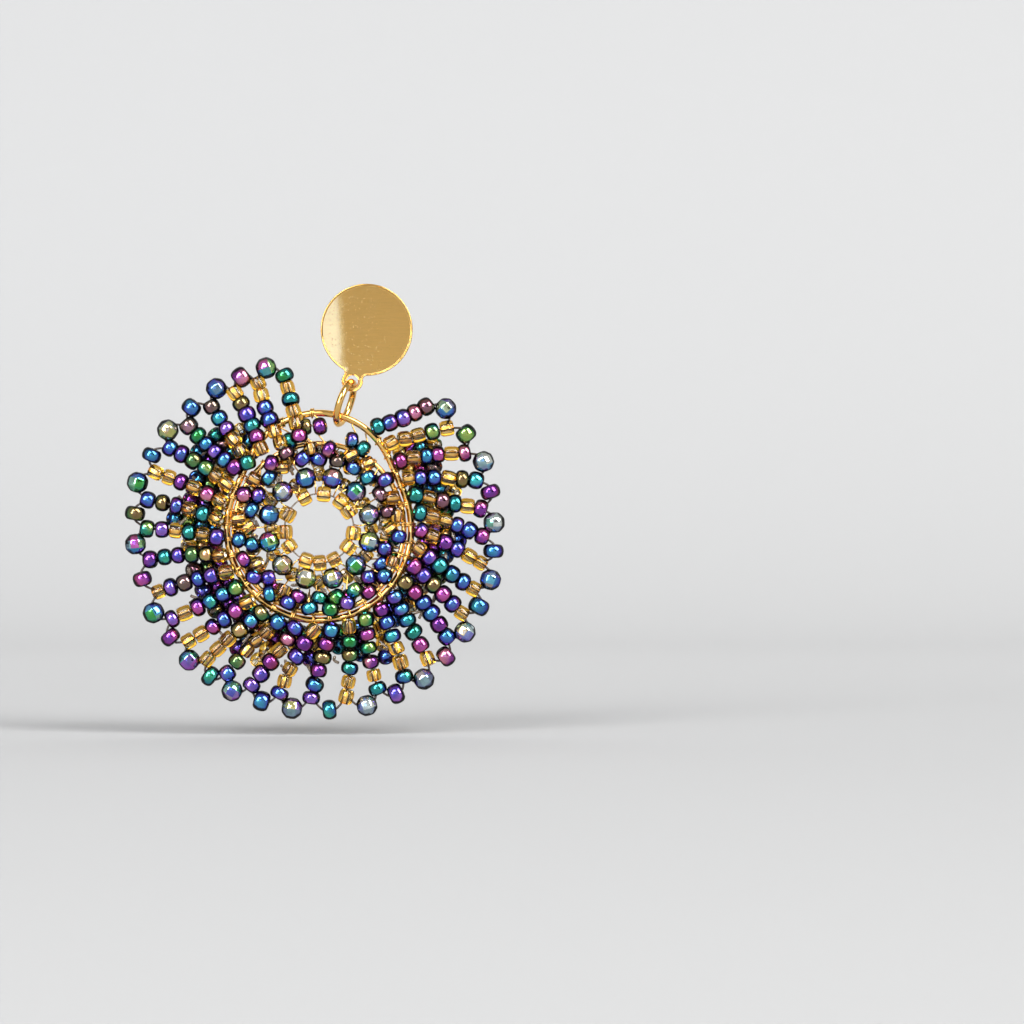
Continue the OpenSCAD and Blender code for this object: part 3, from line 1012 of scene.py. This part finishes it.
class EARRING_OT_web(bpy.types.Operator):
    """String the short strings between the cut beads and the round hoop"""
    bl_idname = "earring.web"
    bl_label = "Web"

    def execute(self, context):
        sizes, colours = chosen(context)
        rng = random.Random(sizes.seed + 3)
        beads = BeadSorter(rng)
        for i in range(WEB_COUNT):
            turn = i * 360 / WEB_COUNT
            for r, y, size, shift in WEB_ROWS:
                here = turn + rng.uniform(-2, 2) + shift * 360 / WEB_COUNT
                swing = math.radians(rng.choice(WEB_SWINGS) + rng.uniform(-10, 10))
                swing *= rng.choice((-1, 1))
                along = outward(here) * math.cos(swing) + along_edge(here) * math.sin(swing)
                at = on_drop((r + rng.uniform(-0.2, 0.2)) * MM, here,
                             (y + rng.uniform(-0.25, 0.25)) * MM)
                beads.add(at, along, beads.pick(GOLD_IN_WEB), tilt=0.25, size=size)
            here = turn + rng.uniform(0, 15)
            beads.add(on_drop(rng.uniform(8.6, 10.6) * MM, here, rng.uniform(-0.2, 0.8) * MM),
                      outward(here), beads.pick(ALL_GOLD), tilt=1.0, size=0.8)
        for r, turn in CRESCENT:
            beads.add(on_drop(r * MM, turn, CRESCENT_Y), along_edge(turn), beads.pick(ALL_IRIS),
                      tilt=0.3, size=0.95)
        self.ties(sizes, colours, rng)
        beads.make("web", sizes, colours, "inner_web")
        return {"FINISHED"}

    def ties(self, sizes, colours, rng):
        """Bent bits of fine wire and of thread that tie the web's beads to the hoops."""
        wires, threads = [], []
        for k in range(WEB_TIES):
            turn = k * 360 / WEB_TIES + rng.uniform(-3, 3)
            low, high = rng.uniform(7.2, 8.6) * MM, rng.uniform(10.4, 11.3) * MM
            bend = turn + rng.uniform(-7, 7)
            wires.append(eased([
                on_drop(low, turn, rng.uniform(-0.6, 0.4) * MM),
                on_drop((low + high) / 2, bend, rng.uniform(-1.4, 0.2) * MM),
                on_drop(high, turn + rng.uniform(-4, 4), rng.uniform(-0.7, -0.4) * MM)]))
            threads.append(bent_end(on_drop(
                rng.uniform(7.9, 10.6) * MM, turn + 3, rng.uniform(-0.2, 0.6) * MM), 0.9, rng))
        for r, turn in CRESCENT:
            middle = on_drop(r * MM, turn, CRESCENT_Y)
            side = along_edge(turn) * 0.9 * MM
            top = on_drop(arch_reach(turn) - 0.3 * MM, turn + 3, CRESCENT_Y)
            foot = on_drop(ROUND_R, turn - 4, CRESCENT_Y)
            wires.append(eased([top, middle - side, middle + side, foot]))
        dress("web_wires", wire("web_wires", wires, sizes.fine_wire),
              "binding_wire", colours, "drop", "gold_plate")
        dress("web_thread", wire("web_thread", threads, sizes.nylon_knot),
              "nylon_monofilament", colours, "drop", "thread")


# Where the gold beads sit round the eye, degrees clockwise from the top
EYE_TURNS = (8, 39, 59, 98, 123, 154, 179, 202, 239, 264, 294, 334)
# Radius of the circle of cut beads, and points in a circle of thread
INNER_R = polar(middle_of(INNER_NODES[0]))[0]
THREAD_POINTS = 72


class EARRING_OT_eye(bpy.types.Operator):
    """String the gold beads round the open eye"""
    bl_idname = "earring.eye"
    bl_label = "Eye"

    def execute(self, context):
        sizes, colours = chosen(context)
        rng = random.Random(sizes.seed + 4)
        beads = BeadSorter(rng)
        for turn in EYE_TURNS:
            beads.add(on_drop(EYE_R, -turn, rng.uniform(-0.2, 0.2) * MM), along_edge(-turn),
                      beads.pick(ALL_GOLD), size=1.05)
        half_step = 180 / len(INNER_NODES)
        for node in INNER_NODES:
            out, turn = polar(middle_of(node))
            turn += half_step
            beads.add(
                on_drop(out + rng.uniform(-0.5, 0.7) * MM, turn, rng.uniform(0.3, 0.9) * MM),
                jittered(outward(turn), 0.8, rng), beads.pick(ALL_GOLD), size=0.92)
        beads.make("eye", sizes, colours, "eye_string")
        paths = [[on_drop(r, k * 360 / THREAD_POINTS) for k in range(THREAD_POINTS)]
                 for r in (EYE_R, INNER_R)]
        dress("eye_thread", wire("eye_thread", paths, sizes.nylon, closed=True),
              "nylon_monofilament", colours, "drop", "thread", "ring_thread")
        self.ties(sizes, colours, rng)
        return {"FINISHED"}

    def ties(self, sizes, colours, rng):
        """Short V-shaped wires from the gold beads to the cut beads outside them."""
        out = INNER_R - 0.6 * MM
        paths = []
        for node in INNER_NODES:
            turn = polar(middle_of(node))[1]
            for side in (-1, 1):
                foot = turn + side * rng.uniform(8, 14)
                paths.append(eased([
                    on_drop(out, turn + side * 10, -0.5 * MM),
                    on_drop((out + EYE_R) / 2, foot, -0.8 * MM),
                    on_drop(EYE_R + 0.1 * MM, foot + rng.uniform(-4, 4), -0.3 * MM)]))
        dress("eye_wires", wire("eye_wires", paths, sizes.fine_wire),
              "binding_wire", colours, "drop", "gold_plate")


# Rows of corners on a cut bead, as shares of its width: (along the hole, out from it)
CUT_ROWS = ((-0.47, 0.25), (-0.21, 0.52), (0.21, 0.52), (0.47, 0.25))
CUT_SIDES = 8
# Degrees that each cut bead is turned on its thread past the one before
SPIN_STEP = 17
# How far the fire has rounded a cut bead, from 0 for sharp facets to 1 for a ball, and the
# ball's radius as a share of the bead's width
CUT_PILLOW = 0.55
CUT_BALL = 0.495
# Tones of a cut bead's facets, those that face up and left, up and right, and down: partly the
# coat's own colours and partly painted light, paler as painted highlights where they face up
# towards the lamps, darker where they face down
CUT_TONES_AND_HIGHLIGHTS = (
    ("#E4E88C", "#B68CE8", "#7E98AE"), ("#EFF0DC", "#DCE0B0", "#B8BC64"),
    ("#4A8CD8", "#6C78DC", "#1E78C0"), ("#A8E0D0", "#C8ECE4", "#D060B8"),
    ("#F0E4A0", "#C8E8D8", "#8C84CC"), ("#D860B4", "#8CD078", "#28A0BC"),
    ("#DCEAF0", "#E8ECE0", "#8CA8BC"), ("#B0D4A0", "#7C88E4", "#2C78C8"),
    ("#F0BC60", "#E88CA0", "#4850D0"), ("#D8E470", "#B4D8B0", "#3C80D0"),
    ("#58C8DC", "#48B884", "#8C50CC"), ("#62C8E8", "#3C8CDC", "#34A860"),
)


class EARRING_OT_cut_beads(bpy.types.Operator):
    """Make the fire-polished cut beads of the inner circle and of the fringe's edge"""
    bl_idname = "earring.cut_beads"
    bl_label = "Cut beads"

    def execute(self, context):
        sizes, colours = chosen(context)
        rng = random.Random(sizes.seed + 5)
        for nodes in (INNER_NODES, RIM_NODES):
            for i, node in enumerate(nodes):
                at, spin = middle_of(node), math.radians(i * SPIN_STEP)
                mesh = self.cut_bead(node + "_cut", sizes, at, spin, rng)
                dress(node + "_cut", mesh, "fire_polished_glass", colours,
                      "drop", "faceted_beads", node)
        return {"FINISHED"}

    def cut_bead(self, name, sizes, at, spin, rng):
        """One cut bead: three rows of facets, a table round each end of its hole, and melted
        edges."""
        width = sizes.cut_width
        form = bmesh.new()
        rows = [[form.verts.new((out * width * c, out * width * s, height * width))
                 for c, s in circle(CUT_SIDES)] for height, out in CUT_ROWS]
        skin(form, rows)
        form.faces.new(rows[0][::-1])
        form.faces.new(rows[-1])
        form.transform(
            Matrix.Translation(at) @ turn_to(along_edge(polar(at)[1]), spin).to_4x4())
        form.normal_update()
        tones = rng.choice(CUT_TONES_AND_HIGHLIGHTS)
        facets = [(f.normal.copy(), self.facet_tone_and_highlight(f.normal, tones, rng)) for f in form.faces]
        bmesh.ops.bevel(
            form, geom=form.edges[:], offset=sizes.cut_soft, offset_type="WIDTH", segments=3,
            profile=0.5, affect="EDGES")
        bmesh.ops.triangulate(form, faces=[f for f in form.faces if len(f.verts) > 4])
        bmesh.ops.subdivide_edges(form, edges=form.edges[:], cuts=1, use_grid_fill=True)
        for vert in form.verts:
            away = vert.co - at
            vert.co = at + away.lerp(away.normalized() * width * CUT_BALL, CUT_PILLOW)
        form.normal_update()
        mesh = mesh_from(form, name)
        tint = mesh.attributes.new("tint", "FLOAT_COLOR", "CORNER")
        colours = []
        for polygon in mesh.polygons:
            nearest = max(facets, key=lambda facet: facet[0].dot(polygon.normal))
            colours += [*nearest[1], 1.0] * polygon.loop_total
        tint.data.foreach_set("color", colours)
        return mesh

    def facet_tone_and_highlight(self, normal, tones, rng):
        """One of the bead's tones, by the way the facet faces, so that facets towards the lamps
        take the paler tones of painted highlights, with a cast of a stray tone.
        """
        left, right, down = tones
        if normal.z + rng.uniform(-0.15, 0.15) < 0.05:
            main = down
        else:
            main = left if normal.x < rng.uniform(-0.2, 0.2) else right
        stray = rng.choice(rng.choice(CUT_TONES_AND_HIGHLIGHTS))
        share = rng.choice((0, 0, 0.15, 0.5))
        return [a * (1 - share) + b * share for a, b in zip(to_linear(main), to_linear(stray))]


WHITE = (1.0, 1.0, 1.0)
COOL = (0.22, 0.39, 1.0)
# Lamps: name, place, what it points at, width and height, watts, roll, colour and spread. The
# stud's face mirrors what stands beside the camera: a bright strip, then a pale card
LAMPS = (
    ("key_light", (-0.78, -1.62, 0.64), DROP_AT, (0.95, 1.6), 55, -25, WHITE, 180),
    ("side_light", (1.14, -1.2, 1.04), DROP_AT, (0.9, 1.7), 52, 25, WHITE, 180),
    ("backdrop_light", (0, 0.36, 0.28), (0, 0.37, -0.05), (1.6, 0.2), 1.3, 0, WHITE, 180),
    ("strip_light", (-0.141, -0.61, 0.03), (-0.141, 0, 0.03), (0.16, 0.3), 0.037, 3, COOL, 50),
)
# The card's edges, and how far it stands clear of the paper
CARD_LEFT, CARD_RIGHT, CARD_TOP, CARD_Y = -0.32, 0.2, 0.26, -0.62
CARD_LIFT = 2 * MM
# The white tent round the object: its colour, and how bright its sides, its top and its opening
# at the camera are
TENT_COLOUR = (0.97, 0.985, 1.0, 1)
TENT_SIDE = 0.52
TENT_TOP = 0.4
TENT_OPENING = 0.02
# The way to the middle of that opening, a little to the right of the camera and below it
OPENING_AT = (0.2, -0.96, -0.2)
# The paper: where it starts, where its bend starts, the bend's radius, half its width and its top
PAPER_FRONT, PAPER_BEND_AT, PAPER_BEND_R, PAPER_HALF, PAPER_TOP = -2.0, 0.4, 0.35, 2.0, 1.8
# How far the paper lies below the lowest bead
FLOOR_GAP = 2.0 * MM
# The camera, which looks straight back, with its lens and sensor in millimetres
CAMERA_AT = (0.01893, -0.6, -0.02373)
CAMERA_LENS = 161.8
CAMERA_SENSOR = 36


class EARRING_OT_stage(bpy.types.Operator):
    """Set the pale sweep, the soft lights and the camera"""
    bl_idname = "earring.stage"
    bl_label = "Stage"

    def execute(self, context):
        scene, colours = context.scene, context.scene.earring_colours
        floor_z = min(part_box(node)[0].z for node in RIM_NODES) - FLOOR_GAP
        self.sweep(colours, floor_z)
        self.room(scene)
        for lamp in LAMPS:
            self.softbox(*lamp)
        self.card(colours, floor_z + CARD_LIFT)

        camera = bpy.data.cameras.new("camera")
        camera.sensor_width = CAMERA_SENSOR
        camera.lens = CAMERA_LENS
        camera.clip_start, camera.clip_end = 0.01, 10
        eye = link("camera", camera)
        eye.location = CAMERA_AT
        eye.rotation_euler = (math.radians(90), 0, 0)
        scene.camera = eye
        scene.view_settings.view_transform = "Standard"
        return {"FINISHED"}

    def sweep(self, colours, floor_z):
        """Paper that runs from in front of the object, under it, and up behind it in one curve."""
        profile = [(PAPER_FRONT, floor_z), (0.0, floor_z)]
        for k in range(19):
            a = math.radians(5 * k)
            profile.append((PAPER_BEND_AT + PAPER_BEND_R * math.sin(a),
                            floor_z + PAPER_BEND_R * (1 - math.cos(a))))
        profile.append((PAPER_BEND_AT + PAPER_BEND_R, PAPER_TOP))
        verts = [(s * PAPER_HALF, y, z) for y, z in profile for s in (-1, 1)]
        faces = [(2 * i, 2 * i + 1, 2 * i + 3, 2 * i + 2) for i in range(len(profile) - 1)]
        mesh = mesh_of("backdrop", verts, faces)
        mesh.materials.append(finish_named("backdrop_paper", colours))
        link("backdrop", mesh)

    def room(self, scene):
        """A white tent, dark only round the camera, so that metal and glass mirror light with
        a dark heart."""
        world = bpy.data.worlds.new("tent")
        world.use_nodes = True
        tree = world.node_tree
        tree.nodes.clear()
        way = add_node(tree, "TexCoord").outputs["Generated"]
        height = add_node(tree, "SeparateXYZ", {"Vector": way}).outputs["Z"]
        cloth = remap(tree, height, (0.2, 0.9), (TENT_SIDE, TENT_TOP))
        towards = add_node(tree, "VectorMath", {0: way, 1: OPENING_AT}, operation="DOT_PRODUCT")
        opening = remap(tree, towards, (0.82, 0.9), interpolation_type="SMOOTHSTEP")
        level = add_node(tree, "Mix", {"Factor": opening, "A": cloth, "B": TENT_OPENING})
        light = add_node(tree, "Background", {"Color": TENT_COLOUR, "Strength": level})
        add_node(tree, "OutputWorld", {"Surface": light})
        scene.world = world

    def softbox(self, name, at, aim, size, watts, roll, tone, spread):
        light = bpy.data.lights.new(name, "AREA")
        light.shape = "RECTANGLE"
        light.size, light.size_y = size
        light.energy = watts
        light.color = tone
        light.spread = math.radians(spread)
        lamp = link(name, light)
        lamp.location = at
        lamp.rotation_mode = "QUATERNION"
        aimed = (Vector(aim) - Vector(at)).to_track_quat("-Z", "Y")
        lamp.rotation_quaternion = aimed @ Quaternion((0, 0, 1), math.radians(roll))

    def card(self, colours, low):
        """A standing white card beside the camera, which shows in mirror images alone."""
        corners = [(x, CARD_Y, z) for x, z in (
            (CARD_LEFT, low), (CARD_RIGHT, low), (CARD_RIGHT, CARD_TOP), (CARD_LEFT, CARD_TOP))]
        mesh = mesh_of("mirror_card", corners, [(0, 1, 2, 3)])
        mesh.materials.append(finish_named("white_card", colours))
        card = link("mirror_card", mesh)
        card.visible_camera = False
        card.visible_shadow = False


class EARRING_PT_panel(bpy.types.Panel):
    """Lists the earring's pieces, sizes and colours"""
    bl_idname = "EARRING_PT_panel"
    bl_label = "Beaded Earring"
    bl_space_type = "VIEW_3D"
    bl_region_type = "UI"
    bl_category = "Earring"

    def draw(self, context):
        for operator in OPERATORS:
            self.layout.operator(operator.bl_idname)
        for group in chosen(context):
            for name in group.__annotations__:
                self.layout.prop(group, name)


OPERATORS = (
    EARRING_OT_stud, EARRING_OT_wires, EARRING_OT_bindings, EARRING_OT_fringe,
    EARRING_OT_web, EARRING_OT_eye, EARRING_OT_cut_beads, EARRING_OT_stage)
CLASSES = (EARRING_PG_sizes, EARRING_PG_colours, *OPERATORS, EARRING_PT_panel)


def register():
    for each in CLASSES:
        bpy.utils.register_class(each)
    bpy.types.Scene.earring_sizes = PointerProperty(type=EARRING_PG_sizes)
    bpy.types.Scene.earring_colours = PointerProperty(type=EARRING_PG_colours)


def unregister():
    del bpy.types.Scene.earring_colours
    del bpy.types.Scene.earring_sizes
    for each in reversed(CLASSES):
        bpy.utils.unregister_class(each)


def main():
    register()
    bpy.ops.earring.stud()
    bpy.ops.earring.wires()
    bpy.ops.earring.bindings()
    bpy.ops.earring.fringe()
    bpy.ops.earring.web()
    bpy.ops.earring.eye()
    bpy.ops.earring.cut_beads()
    bpy.ops.earring.stage()
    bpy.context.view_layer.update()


if __name__ == "__main__":
    main()
